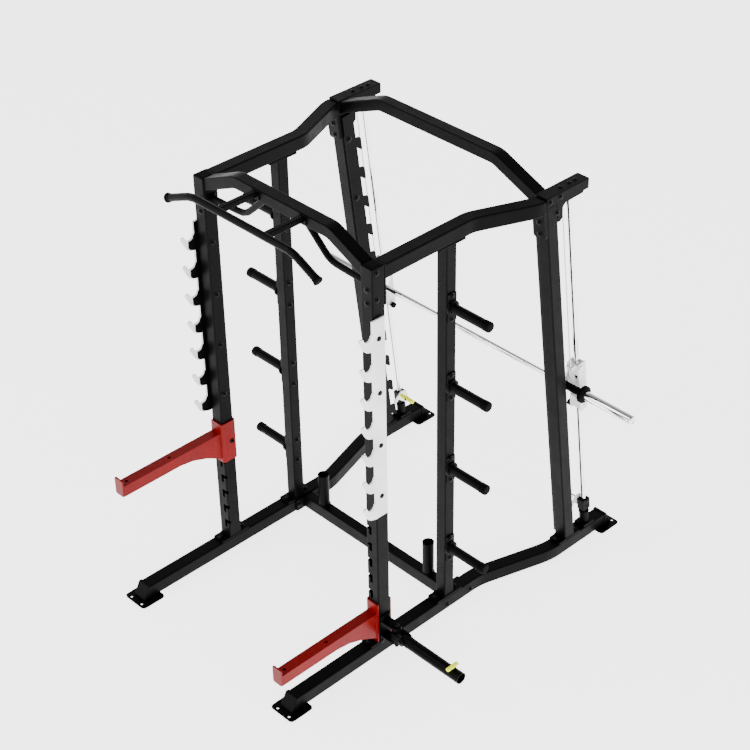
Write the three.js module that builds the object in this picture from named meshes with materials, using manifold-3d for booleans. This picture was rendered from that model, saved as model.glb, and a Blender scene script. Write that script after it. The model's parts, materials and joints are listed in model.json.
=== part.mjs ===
// Smith machine and half rack in one frame, in millimetres, +Z up.
// +X is the right side, -Y the front (the side the spotter arms point to), +Y the rear.
import * as THREE from 'three';
import { mergeVertices } from 'three/addons/utils/BufferGeometryUtils.js';
import Module from 'manifold-3d';

const wasm = await Module();
wasm.setup();

// ---------------------------------------------------------------- driving dimensions
const GAP = 0.3;                       // clearance between touching pieces
const BAR_HALF = 1100;                 // half the length of the barbell
const FRAME_HEIGHT = 2245;             // top of the uprights and side rails
const TUBE = 75;                       // side of the main square tube
const WALL = 4;                        // wall of every square tube
const CORNER = 7;                      // corner radius of the main tube
const FRONT_X = 570;                   // centre plane of the front and middle uprights
const REAR_X = 698;                    // centre plane of the rear uprights and guide rods
const FRONT_Y = -472.5;                // centre of the front uprights
const MID_Y = -11;                     // centre of the middle uprights
const MID_TUBE = 60;                   // height of the arches and width of the base cross-member
const MID_UPRIGHT = 64;                // side of the middle uprights
const ARCH_DEPTH = 68;                 // the arches' depth along Y
const PLATE = 8;                       // thickness of flanges and end plates
const FOOT_PLATE = 6;
const RAIL_BOTTOM = FOOT_PLATE + GAP;
const RAIL_TOP = RAIL_BOTTOM + TUBE;
const RAIL_FRONT = -1045;
const RAIL_REAR = 1045;
const FOOT_FRONT = -1134;
const FOOT_REAR = 1130;
const FLOOR_LEVEL = RAIL_TOP + GAP;    // where the uprights' flanges sit

// The guide rods lean towards the front as they rise, and everything near them leans with them.
const LEAN = THREE.MathUtils.degToRad(7);
const ROD_FOOT_Y = 936;                // where the rod axis would meet the floor
const ROD_R = 15;
const UPRIGHT_V = -157.5;              // centre of the rear upright, square to the rods
const UPRIGHT_DEPTH = 70;
const BAR_V = -48;                     // barbell axis, square to the rods
const BAR_S = 1055.7;                  // barbell axis, along the rods
const TOOTH_PITCH = 180;               // catch teeth along the rods
const TOOTH_COUNT = 11;

// Width and depth offsets that centre the whole machine on its origin.
const LANDMINE_END = 1134;
const ARM_TIP_Y = -1142;
const CENTRE_X = -(LANDMINE_END - BAR_HALF) / 2;
const CENTRE_Y = -(ARM_TIP_Y + FOOT_REAR) / 2;

// ---------------------------------------------------------------- finishes
const finish = (color, roughness, metalness) =>
  new THREE.MeshStandardMaterial({ color, roughness, metalness });
const BLACK = finish(0x1b1b1c, 0.42, 0.3);
const WHITE = finish(0xe6e6e6, 0.35, 0.1);
const CHROME = finish(0xe8e9eb, 0.12, 1);
const STEEL = finish(0xb5b7ba, 0.3, 1);
const RED = finish(0xb01218, 0.35, 0.2);
const YELLOW = finish(0xd6e02c, 0.5, 0);
const IRON = finish(0x3a3a3c, 0.6, 0.6);

// ---------------------------------------------------------------- solid helpers
function solid(geometry) {
  const bare = geometry.clone();
  bare.deleteAttribute('normal');
  bare.deleteAttribute('uv');
  const merged = mergeVertices(bare, 1e-3);
  return new wasm.Manifold(new wasm.Mesh({
    numProp: 3,
    vertProperties: new Float32Array(merged.attributes.position.array),
    triVerts: new Uint32Array(merged.index.array),
  }));
}

function geometryOf(manifold) {
  const mesh = manifold.getMesh();
  const geometry = new THREE.BufferGeometry();
  geometry.setAttribute('position', new THREE.BufferAttribute(mesh.vertProperties, 3));
  geometry.setIndex(new THREE.BufferAttribute(mesh.triVerts, 1));
  return geometry;
}

const join = (...solids) => solids.reduce((whole, piece) => whole.add(piece));
const cut = (body, ...tools) => tools.reduce((left, tool) => left.subtract(tool), body);

// Matrices that stand an outline's extrusion along X or Y instead of Z.
const ALONG_X = new THREE.Matrix4().makeBasis(
  new THREE.Vector3(0, 1, 0), new THREE.Vector3(0, 0, 1), new THREE.Vector3(1, 0, 0));
const ALONG_Y = new THREE.Matrix4().makeBasis(
  new THREE.Vector3(1, 0, 0), new THREE.Vector3(0, 0, 1), new THREE.Vector3(0, -1, 0));
// Takes (x, square to the rod, along the rod) to the frame's own axes.
const LEANING = new THREE.Matrix4().makeRotationX(LEAN).setPosition(0, ROD_FOOT_Y, 0);

const lean = (geometry) => geometry.applyMatrix4(LEANING);
const leanPoint = (x, v, s) => new THREE.Vector3(x, v, s).applyMatrix4(LEANING);

// An outline in (x, y), swept from z = low to z = high.
function slabZ(shape, low, high, bevel = 0) {
  const options = bevel
    ? { depth: high - low - 2 * bevel, bevelThickness: bevel, bevelSize: bevel, bevelOffset: -bevel,
        bevelSegments: 2, curveSegments: 3 }
    : { depth: high - low, bevelEnabled: false, curveSegments: 3 };
  return new THREE.ExtrudeGeometry(shape, options).translate(0, 0, low + bevel);
}
// An outline in (y, z), swept from x = low to x = high.
const slabX = (shape, low, high, bevel = 0) => slabZ(shape, low, high, bevel).applyMatrix4(ALONG_X);
// An outline in (x, z), swept from y = low to y = high.
const slabY = (shape, low, high, bevel = 0) => slabZ(shape, -high, -low, bevel).applyMatrix4(ALONG_Y);

function rectangle(x0, x1, y0, y1, radius = 0) {
  const shape = new THREE.Shape();
  if (radius === 0) {
    shape.moveTo(x0, y0).lineTo(x1, y0).lineTo(x1, y1).lineTo(x0, y1);
    return shape;
  }
  shape.moveTo(x0 + radius, y0).lineTo(x1 - radius, y0).quadraticCurveTo(x1, y0, x1, y0 + radius);
  shape.lineTo(x1, y1 - radius).quadraticCurveTo(x1, y1, x1 - radius, y1);
  shape.lineTo(x0 + radius, y1).quadraticCurveTo(x0, y1, x0, y1 - radius);
  shape.lineTo(x0, y0 + radius).quadraticCurveTo(x0, y0, x0 + radius, y0);
  return shape;
}

const centred = (x, y, w, d, radius) => rectangle(x - w / 2, x + w / 2, y - d / 2, y + d / 2, radius);
const polygon = (points) => new THREE.Shape(points.map(([x, y]) => new THREE.Vector2(x, y)));
const box = (x0, x1, y0, y1, z0, z1) =>
  new THREE.BoxGeometry(x1 - x0, y1 - y0, z1 - z0).translate((x0 + x1) / 2, (y0 + y1) / 2, (z0 + z1) / 2);

function square(side, a, b) {
  return side > 0 ? [a, b] : [-b, -a];
}

// A round bar between two points.
function rod(radius, from, to, segments = 18) {
  const start = new THREE.Vector3(...from);
  const end = new THREE.Vector3(...to);
  const along = end.clone().sub(start);
  const turn = new THREE.Quaternion().setFromUnitVectors(
    new THREE.Vector3(0, 1, 0), along.clone().normalize());
  return new THREE.CylinderGeometry(radius, radius, along.length(), segments)
    .applyQuaternion(turn).translate(...start.add(end).multiplyScalar(0.5).toArray());
}

// A solid of revolution about the X axis from [x, radius] stations.
function turnedX(stations, segments = 20) {
  const profile = stations.map(([x, r]) => new THREE.Vector2(r, x));
  return new THREE.LatheGeometry(profile, segments).rotateZ(-Math.PI / 2);
}

// Stations along a planar path whose corners are rounded to a radius.
function roundedPath(corners, radius, steps = 4) {
  const at = corners.map(([x, y]) => new THREE.Vector2(x, y));
  const stations = [];
  const heading = (a, b) => b.clone().sub(a).normalize();
  stations.push({ point: at[0], along: heading(at[0], at[1]) });
  for (let i = 1; i < at.length - 1; i += 1) {
    const before = heading(at[i - 1], at[i]);
    const after = heading(at[i], at[i + 1]);
    const turn = Math.atan2(before.cross(after), before.dot(after));
    const trim = radius * Math.tan(Math.abs(turn) / 2);
    const side = Math.sign(turn);
    const start = at[i].clone().addScaledVector(before, -trim);
    const centre = start.clone().add(new THREE.Vector2(-before.y, before.x).multiplyScalar(radius * side));
    for (let k = 0; k <= steps; k += 1) {
      const angle = (turn * k) / steps;
      const spoke = start.clone().sub(centre).rotateAround(new THREE.Vector2(), angle);
      stations.push({
        point: centre.clone().add(spoke),
        along: before.clone().rotateAround(new THREE.Vector2(), angle),
      });
    }
  }
  stations.push({ point: at.at(-1), along: heading(at.at(-2), at.at(-1)) });
  return stations;
}

// The outline of a strip of a given width along such a path, run on past both ends.
function strip(corners, width, radius, past = 0) {
  const stations = roundedPath(corners, radius);
  stations[0].point.addScaledVector(stations[0].along, -past);
  stations.at(-1).point.addScaledVector(stations.at(-1).along, past);
  const edge = (offset) => stations.map(({ point, along }) =>
    new THREE.Vector2(point.x - along.y * offset, point.y + along.x * offset));
  return new THREE.Shape([...edge(-width / 2), ...edge(width / 2).reverse()]);
}

// A hollow square tube bent in one plane; sweep is slabX, slabY or slabZ.
function bentTube(sweep, corners, width, low, high, radius, bevel = 5) {
  const outer = solid(sweep(strip(corners, width, radius), low, high, bevel));
  const inner = solid(sweep(strip(corners, width - 2 * WALL, radius, 40), low + WALL, high - WALL));
  return cut(outer, inner);
}

// A straight upright tube, open at both ends.
function uprightTube(x, y, width, depth, low, high, radius = CORNER) {
  const outer = centred(x, y, width, depth, radius);
  const inner = centred(x, y, width - 2 * WALL, depth - 2 * WALL, radius - 3);
  return cut(solid(slabZ(outer, low, high)), solid(slabZ(inner, low - 5, high + 5)));
}

const model = new THREE.Group();
const leaning = new THREE.Group();
leaning.rotation.x = LEAN;
leaning.position.y = ROD_FOOT_Y;
model.add(leaning);

function place(name, body, material, parent = model) {
  const mesh = new THREE.Mesh(body.isBufferGeometry ? body : geometryOf(body), material);
  mesh.name = name;
  parent.add(mesh);
  return mesh;
}

const SIDES = [['left', -1], ['right', 1]];

// ---------------------------------------------------------------- base
const RAIL_BEND_FROM = 225;
const RAIL_BEND_TO = 640;
const RAIL_BEND_RADIUS = 380;
const SOCKET_S = 92;                   // foot of the guide rods, along the rods
const SOCKET_TOP = 168;

// The lower end of each guide rod stands in a welded socket on the rail.
function rodSocket(side) {
  const x = side * REAR_X;
  const cup = lean(rod(26, [x, 0, SOCKET_S - 30], [x, 0, SOCKET_TOP]));
  const bore = lean(rod(ROD_R + GAP, [x, 0, SOCKET_S], [x, 0, SOCKET_TOP + 10]));
  const foot = leanPoint(x, 0, SOCKET_S);
  const web = box(x - 34, x + 34, foot.y - 40, foot.y + 40, RAIL_TOP - 2, RAIL_TOP + 12);
  const above = box(x - 60, x + 60, foot.y - 90, foot.y + 60, RAIL_TOP - 2, SOCKET_TOP + 40);
  return cut(join(solid(cup).intersect(solid(above)), solid(web)), solid(bore));
}

function baseRail(side) {
  const line = [[side * FRONT_X, RAIL_FRONT], [side * FRONT_X, RAIL_BEND_FROM],
    [side * REAR_X, RAIL_BEND_TO], [side * REAR_X, RAIL_REAR]];
  const tube = bentTube(slabZ, line, TUBE, RAIL_BOTTOM, RAIL_TOP, RAIL_BEND_RADIUS, CORNER);
  return join(tube, rodSocket(side));
}

// A bolted-down plate with a sloped cover that closes the end of the rail.
function foot(side, x, y, direction) {
  const edge = direction < 0 ? FOOT_FRONT : FOOT_REAR;
  const inner = edge - direction * 145;
  const [low, high] = edge < inner ? [edge, inner] : [inner, edge];
  const plate = solid(slabZ(rectangle(x - 78, x + 78, low, high, 22), 0, FOOT_PLATE));
  const back = y + direction * GAP;
  const cover = solid(slabX(polygon([[back, FOOT_PLATE - 2], [back, RAIL_TOP + 2],
    [back + direction * 16, RAIL_TOP + 2], [back + direction * 50, FOOT_PLATE + 12],
    [back + direction * 52, FOOT_PLATE - 2]].map(([a, b]) => [a, b])), x - 41, x + 41, 3));
  const holes = [-41, 41].map((dx) =>
    solid(rod(7, [x + dx, edge - direction * 18, -5], [x + dx, edge - direction * 18, 20])));
  return cut(join(plate, cover), ...holes);
}

const CROSS_Y = 42;
const STORAGE_X = 398;
const STORAGE_TOP = 282;

// The cross-member between the rails, with an open tube near each end for storing a bar upright.
function baseCrossMember() {
  const reach = FRONT_X - TUBE / 2 - GAP;
  const section = (w, h, r) => centred(CROSS_Y, RAIL_BOTTOM + TUBE / 2, w, h, r);
  const tube = cut(solid(slabX(section(MID_TUBE, TUBE, CORNER), -reach, reach)),
    solid(slabX(section(MID_TUBE - 2 * WALL, TUBE - 2 * WALL, 4), -reach - 5, reach + 5)));
  const cups = [-1, 1].map((side) => {
    const at = (z) => [side * STORAGE_X, CROSS_Y, z];
    return cut(solid(rod(30, at(RAIL_TOP - 3), at(STORAGE_TOP), 20)),
      solid(rod(26, at(RAIL_TOP + 4), at(STORAGE_TOP + 5), 20)));
  });
  return join(tube, ...cups);
}

place('base_cross_member', baseCrossMember(), BLACK);
for (const [name, side] of SIDES) {
  place(`base_rail_${name}`, baseRail(side), BLACK);
  place(`foot_front_${name}`, foot(side, side * FRONT_X, RAIL_FRONT, -1), BLACK);
  place(`foot_rear_${name}`, foot(side, side * REAR_X, RAIL_REAR, 1), BLACK);
}

// ---------------------------------------------------------------- front uprights
const SLOT_COUNT = 7;
const SLOT_FIRST = 180;
const SLOT_PITCH = 100;
const BACKING = 4;                     // black plate between upright and hook plate
const HOOK_PLATE = 9;
const HOOK_COUNT = 7;
const HOOK_FIRST = 955;                // bottom of the lowest hook cup
const HOOK_PITCH = 158;
const HOOK_PLATE_LOW = 890;
const HOOK_PLATE_HIGH = 1996;
const HOOK_PLATE_REAR = -451;
const HOOK_PLATE_FRONT = -527;

// The 7-shaped slot that a spotter arm's hook drops into, open at the inner front edge.
function hookSlot(side, z) {
  const edge = side * (FRONT_X - TUBE / 2);
  const front = FRONT_Y - TUBE / 2;
  const [mouth0, mouth1] = side > 0 ? [edge - 5, edge + 36] : [edge - 36, edge + 5];
  const [leg0, leg1] = side > 0 ? [edge + 18, edge + 36] : [edge - 36, edge - 18];
  return [
    solid(box(mouth0, mouth1, front - 5, front + CORNER + 6, z, z + 20)),
    solid(box(leg0, leg1, front - 5, front + WALL + 2, z - 30, z + 10)),
  ];
}

// Outline in (y, z) of the rack plate, whose hooks point forward.
function hookOutline() {
  const shape = new THREE.Shape();
  const front = HOOK_PLATE_FRONT;
  const tip = front - 70;
  shape.moveTo(HOOK_PLATE_REAR, HOOK_PLATE_LOW);
  shape.lineTo(front, HOOK_PLATE_LOW);
  for (let i = 0; i < HOOK_COUNT; i += 1) {
    const cup = HOOK_FIRST + i * HOOK_PITCH;
    shape.lineTo(front, cup - 64);
    shape.lineTo(front - 22, cup - 58);
    shape.quadraticCurveTo(front - 48, cup - 50, front - 57, cup - 26);
    shape.lineTo(tip - 8, cup + 16);
    shape.quadraticCurveTo(tip - 10, cup + 32, tip + 8, cup + 30);
    shape.quadraticCurveTo(tip + 16, cup + 28, tip + 19, cup + 14);
    shape.quadraticCurveTo(front - 44, cup, front - 30, cup);
    shape.quadraticCurveTo(front - 14, cup, front - 8, cup + 16);
    shape.quadraticCurveTo(front - 6, cup + 26, front, cup + 28);
  }
  shape.lineTo(front, HOOK_PLATE_HIGH);
  shape.lineTo(HOOK_PLATE_REAR, HOOK_PLATE_HIGH);
  return shape;
}

function frontUpright(side) {
  const x = side * FRONT_X;
  const floor = FLOOR_LEVEL;
  const tube = uprightTube(x, FRONT_Y, TUBE, TUBE, floor, FRAME_HEIGHT);
  const flange = solid(slabZ(rectangle(x - TUBE / 2, x + TUBE / 2, FRONT_Y - 92, FRONT_Y + 92, 8), floor, floor + PLATE));
  const cap = solid(slabZ(centred(x, FRONT_Y, TUBE - 2, TUBE - 2, CORNER - 1), FRAME_HEIGHT - 4, FRAME_HEIGHT));
  const face = FRONT_X + TUBE / 2;
  const [low, high] = square(side, face - 1, face + BACKING);
  const backing = solid(box(low, high, HOOK_PLATE_FRONT + 3, HOOK_PLATE_REAR - 3, HOOK_PLATE_LOW + 3, HOOK_PLATE_HIGH - 3));
  const slots = Array.from({ length: SLOT_COUNT }, (_, i) => hookSlot(side, SLOT_FIRST + i * SLOT_PITCH)).flat();
  return cut(join(tube, flange, cap, backing), ...slots);
}

const SWIVEL_X = 692;                  // the landmine's upright pin
const SWIVEL_Z = 174;

// Two lugs on a plate welded to the outer face of the right front upright.
function landmineBracket() {
  const face = FRONT_X + TUBE / 2 - 1;
  const plate = solid(box(face, face + 8, FRONT_Y - 34, FRONT_Y + 34, FLOOR_LEVEL + 4, SWIVEL_Z + 78));
  const lug = (z) => join(
    solid(box(face + 6, SWIVEL_X, FRONT_Y - 26, FRONT_Y + 26, z, z + 10)),
    solid(rod(26, [SWIVEL_X, FRONT_Y, z], [SWIVEL_X, FRONT_Y, z + 10])));
  const bore = solid(rod(10.4, [SWIVEL_X, FRONT_Y, 0], [SWIVEL_X, FRONT_Y, 400], 20));
  return cut(join(plate, lug(SWIVEL_Z - 52), lug(SWIVEL_Z + 42)), bore);
}

for (const [name, side] of SIDES) {
  const [low, high] = square(side, FRONT_X + TUBE / 2 + BACKING + GAP, FRONT_X + TUBE / 2 + BACKING + GAP + HOOK_PLATE);
  place(`front_upright_${name}`, side < 0 ? frontUpright(side) : join(frontUpright(side), landmineBracket()), BLACK);
  place(`hook_plate_${name}`, slabX(hookOutline(), low, high), WHITE);
}

// ---------------------------------------------------------------- middle uprights and plate pegs
const SIDE_RAIL_LOW = FRAME_HEIGHT - TUBE;
const PEG_HEIGHTS = [402, 900, 1390, 1833];
const PEG_R = 25;
const PEG_END = 846;

function midUpright(side) {
  const x = side * FRONT_X;
  const top = SIDE_RAIL_LOW - GAP;
  const tube = uprightTube(x, MID_Y, MID_UPRIGHT, MID_UPRIGHT, FLOOR_LEVEL, top, 6);
  const flange = (z) => solid(slabZ(rectangle(x - TUBE / 2, x + TUBE / 2, MID_Y - 88, MID_Y + 88, 8), z, z + PLATE));
  const drain = solid(rod(12, [x, MID_Y, 0], [x, MID_Y, FRAME_HEIGHT]));
  return cut(join(tube, flange(FLOOR_LEVEL), flange(top - PLATE)), drain);
}

// A bracket plate with a collar ring and a tube with a rounded end, for storing weight plates.
function platePeg(side, z) {
  const face = FRONT_X + MID_UPRIGHT / 2 + GAP;
  const [low, high] = square(side, face, face + 6);
  const bracket = solid(box(low, high, MID_Y - 27, MID_Y + 27, z - 75, z + 75));
  const body = turnedX([[face + 4, 0], [face + 4, 38], [face + 14, 38], [face + 16, PEG_R],
    [PEG_END - 5, PEG_R], [PEG_END, PEG_R - 5], [PEG_END, 0]], 18);
  if (side < 0) body.rotateZ(Math.PI);
  return join(bracket, solid(body.translate(0, MID_Y, z)));
}

for (const [name, side] of SIDES) {
  place(`mid_upright_${name}`, midUpright(side), BLACK);
  PEG_HEIGHTS.forEach((z, i) => place(`plate_peg_${name}_${i + 1}`, platePeg(side, z), BLACK));
}

// ---------------------------------------------------------------- rear uprights, catch plates, guide rods
const UPRIGHT_FRONT_V = UPRIGHT_V - UPRIGHT_DEPTH / 2;
const UPRIGHT_REAR_V = UPRIGHT_V + UPRIGHT_DEPTH / 2;
const TOOTH_TIP_V = -82;
const TOOTH_FIRST_S = 244;             // top of the lowest tooth, along the rods
const CATCH_PLATE = 11;
const CATCH_TOP_S = 2200;              // the plate ends just under the rear arch
const HEADER_LOW = FRAME_HEIGHT - 46;
const HEADER_HIGH = FRAME_HEIGHT + 8;
const HEADER_END_Y = 766;
const PULLEY_WIDTH = 14;
const upY = (z, v) => ROD_FOOT_Y + v / Math.cos(LEAN) - z * Math.tan(LEAN);

function rearUpright(side) {
  const x = side * REAR_X;
  const outer = lean(slabZ(centred(x, UPRIGHT_V, TUBE, UPRIGHT_DEPTH, CORNER), 0, 2400));
  const inner = lean(slabZ(centred(x, UPRIGHT_V, TUBE - 2 * WALL, UPRIGHT_DEPTH - 2 * WALL, 4), -10, 2410));
  const level = solid(box(x - 100, x + 100, 200, 1200, FLOOR_LEVEL, HEADER_LOW - GAP));
  const y = upY(FLOOR_LEVEL, UPRIGHT_V);
  const flange = solid(slabZ(rectangle(x - TUBE / 2, x + TUBE / 2, y - 82, y + 82, 8), FLOOR_LEVEL, FLOOR_LEVEL + PLATE));
  const notch = solid(box(x - PULLEY_WIDTH / 2 - 3, x + PULLEY_WIDTH / 2 + 3, upY(HEADER_LOW, UPRIGHT_V), 700,
    HEADER_LOW - 22, HEADER_LOW + 5));
  return join(cut(solid(outer).intersect(level), solid(inner), notch), flange);
}

// A plate bolted to the inner face, with one tooth for each height the bar can rest at.
function catchPlate(side) {
  const shape = new THREE.Shape();
  const edge = UPRIGHT_FRONT_V + 6;
  const spine = UPRIGHT_REAR_V + 7;
  shape.moveTo(edge, TOOTH_FIRST_S - 110);
  shape.lineTo(spine, TOOTH_FIRST_S - 110);
  for (let i = 0; i < TOOTH_COUNT; i += 1) {
    const top = TOOTH_FIRST_S + i * TOOTH_PITCH;
    shape.lineTo(spine, top - 56);
    shape.lineTo(TOOTH_TIP_V - 8, top - 80);
    shape.quadraticCurveTo(TOOTH_TIP_V, top - 82, TOOTH_TIP_V, top - 74);
    shape.lineTo(TOOTH_TIP_V, top - 16);
    shape.quadraticCurveTo(TOOTH_TIP_V, top - 9, TOOTH_TIP_V - 8, top - 7);
    shape.lineTo(spine, top);
  }
  shape.lineTo(spine, CATCH_TOP_S);
  shape.lineTo(edge, CATCH_TOP_S);
  const inner = REAR_X - TUBE / 2 - GAP;
  const [from, to] = square(side, inner - CATCH_PLATE, inner);
  return slabX(shape, from, to);
}

for (const [name, side] of SIDES) {
  const x = side * REAR_X;
  place(`rear_upright_${name}`, rearUpright(side), BLACK);
  place(`catch_plate_${name}`, catchPlate(side), BLACK, leaning);
  const rodTop = (HEADER_LOW - GAP - 6) / Math.cos(LEAN);
  place(`guide_rod_${name}`, rod(ROD_R, [x, 0, SOCKET_S + GAP], [x, 0, rodTop], 20), CHROME, leaning);
}

// ---------------------------------------------------------------- top frame
const TOP_BEND_FROM = 135;
const TOP_BEND_TO = 440;
const TOP_BEND_RADIUS = 160;
const ARCH_RADIUS = 110;
const TONGUE = 20;                     // plate between the side rail and the rear upright

// A side rail from the front upright to the rear upright, ending in a bolted plate that leans.
function topRail(side) {
  const start = FRONT_Y + TUBE / 2 + GAP;
  const meet = upY(SIDE_RAIL_LOW, UPRIGHT_FRONT_V - PLATE - 2 * GAP);
  const line = [[side * FRONT_X, start + 6], [side * FRONT_X, TOP_BEND_FROM],
    [side * REAR_X, TOP_BEND_TO], [side * REAR_X, meet + 30]];
  const behind = solid(lean(box(side * REAR_X - 90, side * REAR_X + 90, UPRIGHT_FRONT_V - GAP, 400, 1500, 2600)));
  const tube = bentTube(slabZ, line, TUBE, SIDE_RAIL_LOW, FRAME_HEIGHT, TOP_BEND_RADIUS, CORNER);
  const face = solid(box(side * FRONT_X - TUBE / 2, side * FRONT_X + TUBE / 2, start, start + PLATE,
    SIDE_RAIL_LOW - 130, FRAME_HEIGHT));
  const tongue = lean(slabY(rectangle(side * REAR_X - TUBE / 2, side * REAR_X + TUBE / 2, 2075, 2245, 14),
    UPRIGHT_FRONT_V - GAP - TONGUE, UPRIGHT_FRONT_V - GAP));
  const ceiling = solid(box(side * REAR_X - 90, side * REAR_X + 90, 300, 700, FRAME_HEIGHT, FRAME_HEIGHT + 80));
  return cut(join(tube, face, solid(tongue)), behind, ceiling);
}

// A raised cross-member between the uprights: level in the middle, sloping down to both ends.
function arch(y, reach, bendX, top, endTop) {
  const slope = Math.atan2(top - endTop, reach - bendX);
  const half = MID_TUBE / 2;
  const end = endTop - half / Math.cos(slope);
  const line = [[-reach - 40, end - 40 * Math.tan(slope)], [-bendX, top - half],
    [bendX, top - half], [reach + 40, end - 40 * Math.tan(slope)]];
  const between = solid(box(-reach, reach, y - 100, y + 100, 1800, 2600));
  const [front, rear] = [y - ARCH_DEPTH / 2, y + ARCH_DEPTH / 2];
  return bentTube(slabY, line, MID_TUBE, front, rear, ARCH_RADIUS).intersect(between);
}

const FRONT_ARCH_TOP = 2345;
const REAR_ARCH_TOP = 2360;
const ARCH_END_TOP = 2250;
const REAR_ARCH_Y = upY(FRAME_HEIGHT - 30, UPRIGHT_V);
const HEADER_FRONT_Y = upY(HEADER_LOW, UPRIGHT_V) - 35;

// A downward-open channel on top of the rear upright that holds the cable's two pulleys.
const PULLEY_R = 24;
const PULLEY_Z = HEADER_LOW + 9;
const CABLE_V = BAR_V;
const CABLE_R = 3;
const CABLE_TOP_Y = upY(PULLEY_Z, CABLE_V);
const PULLEY_REAR_Y = CABLE_TOP_Y - PULLEY_R - CABLE_R;
const PULLEY_FRONT_Y = upY(PULLEY_Z, UPRIGHT_V) + PULLEY_R + CABLE_R - 6;
const AXLE_R = 6;
const SIDE_PLATE = 5;                  // side plates behind the upright, under the channel
const SIDE_PLATE_Y = 585;
const SIDE_PLATE_LOW = 2101;

function headerArm(side) {
  const x = side * REAR_X;
  const half = TUBE / 2;
  const front = HEADER_FRONT_Y;
  const shell = solid(slabZ(rectangle(x - half, x + half, front, HEADER_END_Y, 6), HEADER_LOW, HEADER_HIGH, 3));
  const hollow = solid(box(x - half + WALL, x + half - WALL, front + 10, HEADER_END_Y - 6,
    HEADER_LOW - 140, HEADER_HIGH - WALL));
  const rear = HEADER_END_Y - 40;
  const profile = polygon([[SIDE_PLATE_Y - 90, HEADER_LOW + 2], [rear, HEADER_LOW + 2], [rear, HEADER_LOW - 8],
    [SIDE_PLATE_Y + 18, HEADER_LOW - 12], [SIDE_PLATE_Y, HEADER_LOW - 28], [SIDE_PLATE_Y, SIDE_PLATE_LOW + 14],
    [SIDE_PLATE_Y - 14, SIDE_PLATE_LOW], [SIDE_PLATE_Y - 90, SIDE_PLATE_LOW]]);
  const behind = solid(lean(box(x - 60, x + 60, UPRIGHT_REAR_V + 2 * GAP, 400, 1900, 2400)));
  const sides = [x - half, x + half - SIDE_PLATE].map((low) =>
    solid(slabX(profile, low, low + SIDE_PLATE)).intersect(behind));
  const axle = (y) => solid(rod(AXLE_R - 0.5, [x - half + 1, y, PULLEY_Z], [x + half - 1, y, PULLEY_Z], 16));
  const rodEnd = leanPoint(x, 0, (HEADER_LOW + 10) / Math.cos(LEAN));
  const boss = solid(rod(24, [x, rodEnd.y, HEADER_LOW - 4 + GAP], [x, rodEnd.y, HEADER_HIGH - 2]));
  const lid = cut(shell, hollow);
  return join(lid, ...sides, axle(PULLEY_REAR_Y), axle(PULLEY_FRONT_Y), boss);
}

function pulley() {
  const half = PULLEY_WIDTH / 2;
  const wheel = turnedX([[-half, AXLE_R + 0.3], [-half, PULLEY_R + 3], [-half + 2, PULLEY_R + 3], [-2, PULLEY_R - 1],
    [2, PULLEY_R - 1], [half - 2, PULLEY_R + 3], [half, PULLEY_R + 3], [half, AXLE_R + 0.3], [-half, AXLE_R + 0.3]], 24);
  return wheel;
}

place('front_arch', arch(FRONT_Y + 4, FRONT_X - TUBE / 2 - GAP, 318, FRONT_ARCH_TOP, ARCH_END_TOP), BLACK);
place('rear_arch', arch(REAR_ARCH_Y + 8, REAR_X - TUBE / 2 - GAP, 385, REAR_ARCH_TOP, ARCH_END_TOP - 2), BLACK);
for (const [name, side] of SIDES) {
  place(`top_rail_${name}`, topRail(side), BLACK);
  place(`header_arm_${name}`, headerArm(side), BLACK);
  [['rear', PULLEY_REAR_Y], ['front', PULLEY_FRONT_Y]].forEach(([where, y]) => {
    place(`pulley_${where}_${name}`, pulley(), STEEL).position.set(side * REAR_X, y, PULLEY_Z);
  });
}

// ---------------------------------------------------------------- pull-up bar and grips
const PULL_Y = -726;
const PULL_Z = 2322;
const PULL_R = 19;
const STRUT_X = 158;

// A round tube along a path whose corners are softened by quadratic curves.
function bentRound(points, radius, soften, steps) {
  const at = points.map((p) => new THREE.Vector3(...p));
  const path = new THREE.CurvePath();
  let from = at[0];
  for (let i = 1; i < at.length - 1; i += 1) {
    const before = at[i].clone().lerp(at[i - 1], soften / at[i].distanceTo(at[i - 1]));
    const after = at[i].clone().lerp(at[i + 1], soften / at[i].distanceTo(at[i + 1]));
    path.add(new THREE.LineCurve3(from, before));
    path.add(new THREE.QuadraticBezierCurve3(before, at[i], after));
    from = after;
  }
  path.add(new THREE.LineCurve3(from, at.at(-1)));
  const section = new THREE.Shape().absarc(0, 0, radius, 0, Math.PI * 2);
  return new THREE.ExtrudeGeometry(section, { extrudePath: path, steps, curveSegments: 6 });
}

function pullUpBar() {
  const bar = bentRound([[-508, PULL_Y - 6, 2251], [-342, PULL_Y, PULL_Z], [342, PULL_Y, PULL_Z],
    [508, PULL_Y - 6, 2251]], PULL_R, 40, 26);
  const archFace = FRONT_Y + 4 - ARCH_DEPTH / 2 - GAP;
  const struts = [-STRUT_X, STRUT_X].map((x) => join(
    solid(slabY(centred(x, PULL_Z + 1, 30, 30, 5), PULL_Y, archFace)),
    solid(slabY(centred(x, PULL_Z - 4, 52, 46, 6), archFace - 6, archFace))));
  return join(solid(bar), ...struts);
}

// A bent handle from under the front arch to the inner face of the front upright.
function grip(side) {
  const y = FRONT_Y + 10.5;
  const wall = FRONT_X - TUBE / 2 - GAP;
  const underside = FRONT_ARCH_TOP - MID_TUBE - GAP;
  const tube = bentRound([[side * 122, y, underside + 12], [side * 290, y, 2142], [side * (wall + 10), y, 2131]],
    16.5, 40, 14);
  const within = solid(box(...square(side, 60, wall), y - 60, y + 60, 2000, underside));
  const pad = solid(slabZ(centred(side * 138, FRONT_Y + 4, 52, 44, 6), underside - 6, underside));
  const [low, high] = square(side, wall - 6, wall);
  const plate = solid(slabX(centred(FRONT_Y + 8, 2130, 44, 54, 6), low, high));
  return join(solid(tube).intersect(within), pad, plate);
}

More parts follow.
